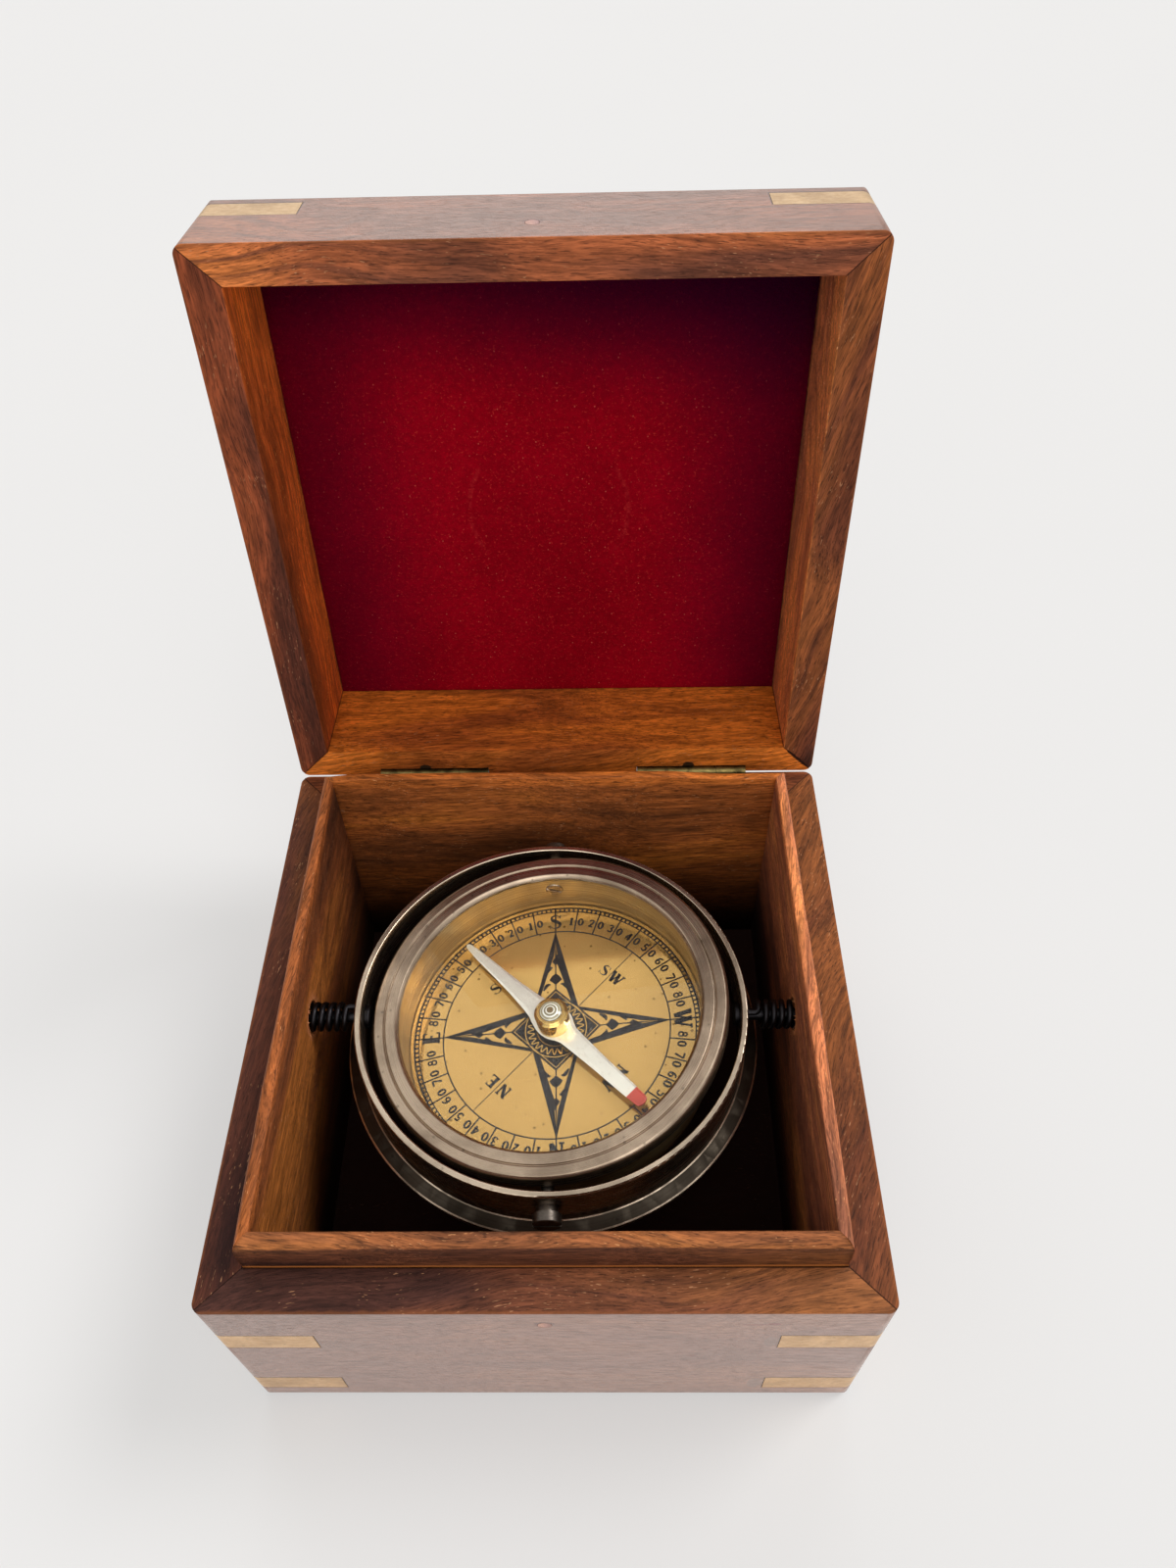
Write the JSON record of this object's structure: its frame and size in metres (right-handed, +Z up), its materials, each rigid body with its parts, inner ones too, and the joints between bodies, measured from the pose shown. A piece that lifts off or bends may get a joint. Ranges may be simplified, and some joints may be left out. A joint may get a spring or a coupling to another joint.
{
  "type": "gimballed compass box",
  "caption": "Square hardwood box with a hinged lid, velvet inside, holding a dry compass in a two-axis gimbal; the lid stands open.",
  "frame": {"origin": "middle of the box's underside", "axes": "+Z up, +Y back to the hinges, +X to the right as seen from the front"},
  "size_m": [0.15, 0.1983, 0.2193],
  "materials": {
    "rosewood": "satin oiled",
    "lining_wood": "satin oiled",
    "plug_wood": "matte",
    "strap_brass": "dull",
    "hinge_brass": "dull",
    "velvet": "short pile",
    "blackened_steel": "satin black",
    "antique_nickel": "darkened plate over brass",
    "bowl_brass": "turned",
    "glass": "clear",
    "dial_brass": "satin, printed",
    "needle_steel": "polished",
    "weight_lead": "dull"
  },
  "bodies": {
    "case": {"base_front_wall": "rosewood", "base_back_wall": "rosewood", "base_left_wall": "rosewood", "base_right_wall": "rosewood", "base_bottom": "rosewood", "lining_front": "lining_wood", "lining_back": "lining_wood", "lining_left": "lining_wood", "lining_right": "lining_wood", "base_corner_straps": "strap_brass", "base_front_plug": "plug_wood", "hinge_left_base_leaf": "hinge_brass", "hinge_right_base_leaf": "hinge_brass", "hinge_base_screws": "hinge_brass", "hinge_left_pin": "hinge_brass", "hinge_right_pin": "hinge_brass", "ring_pivot_screw_left": "blackened_steel", "ring_pivot_screw_right": "blackened_steel", "pivot_spring_left": "blackened_steel", "pivot_spring_right": "blackened_steel"},
    "lid": {"lid_front_wall": "rosewood", "lid_back_wall": "rosewood", "lid_left_wall": "rosewood", "lid_right_wall": "rosewood", "lid_board": "rosewood", "lid_velvet": "velvet", "lid_corner_straps": "strap_brass", "lid_front_plug": "plug_wood", "hinge_left_lid_leaf": "hinge_brass", "hinge_right_lid_leaf": "hinge_brass", "hinge_lid_screws": "hinge_brass"},
    "ring": {"gimbal_ring": "antique_nickel"},
    "bowl": {"compass_bowl": "bowl_brass", "bezel": "antique_nickel", "glass": "glass", "dial_seat_ring": "bowl_brass", "dial": "dial_brass", "needle_pivot": "needle_steel", "bowl_weight": "weight_lead", "bowl_weight_screw": "bowl_brass", "bowl_pivot_screw_front": "antique_nickel", "bowl_pivot_screw_back": "antique_nickel"},
    "needle": {"needle": "needle_steel", "needle_hub": "bowl_brass", "needle_cap": "glass"}
  },
  "joints": [
    {"name": "lid_hinge", "type": "hinge", "parent": "case", "child": "lid", "pos_m": [0, 0.0751, 0.0702], "axis": [1, 0, 0], "range_deg": [0, 96.5]},
    {"name": "ring_tilt", "type": "hinge", "parent": "case", "child": "ring", "pos_m": [0, 0, 0.0616], "axis": [1, 0, 0], "range_deg": [-25, 25]},
    {"name": "bowl_tilt", "type": "hinge", "parent": "ring", "child": "bowl", "pos_m": [0, 0, 0.0616], "axis": [0, 1, 0], "range_deg": [-18.5, 31.5]},
    {"name": "needle_spin", "type": "hinge", "parent": "bowl", "child": "needle", "pos_m": [0, 0, 0.0616], "axis": [-0.1132, 0, 0.9936], "continuous": true}
  ]
}
